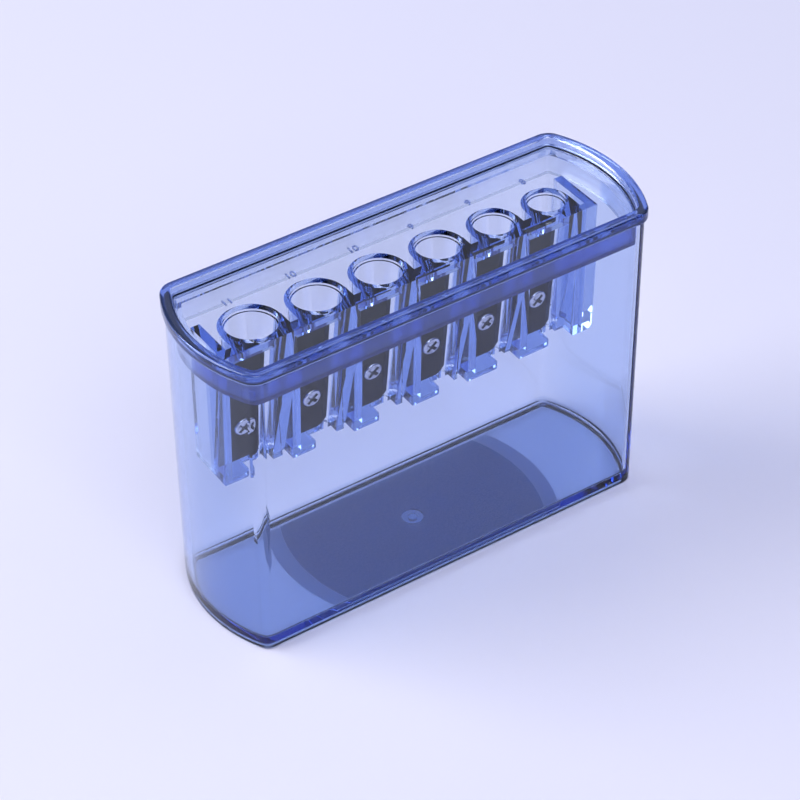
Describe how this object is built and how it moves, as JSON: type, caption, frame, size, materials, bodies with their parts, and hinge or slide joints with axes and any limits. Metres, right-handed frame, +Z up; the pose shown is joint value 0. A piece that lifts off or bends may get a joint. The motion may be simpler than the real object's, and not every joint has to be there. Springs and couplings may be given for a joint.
{
  "type": "pencil sharpener",
  "caption": "Canister pencil sharpener: a clear box with a lift-off lid that carries a row of sharpeners with graded pencil holes.",
  "frame": {"origin": "under the middle of the container, on the surface it stands on", "axes": "+X along the long side from the widest pencil hole to the narrowest, +Y away from the blades, +Z up"},
  "size_m": [0.0932, 0.0316, 0.0651],
  "materials": {
    "container_plastic": "clear, tinted blue, polished",
    "lid_plastic": "clear, tinted blue, polished",
    "blade_steel": "ground carbon steel",
    "screw_metal": "bright plated"
  },
  "bodies": {
    "container": {"container": "container_plastic"},
    "lid": {"lid": "lid_plastic", "blade_1": "blade_steel", "blade_2": "blade_steel", "blade_3": "blade_steel", "blade_4": "blade_steel", "blade_5": "blade_steel", "blade_6": "blade_steel", "screw_1": "screw_metal", "screw_2": "screw_metal", "screw_3": "screw_metal", "screw_4": "screw_metal", "screw_5": "screw_metal", "screw_6": "screw_metal"}
  },
  "joints": [
    {"name": "lid_lift", "type": "slide", "parent": "container", "child": "lid", "axis": [0, 0, 1], "range_m": [0, 0.035]}
  ]
}
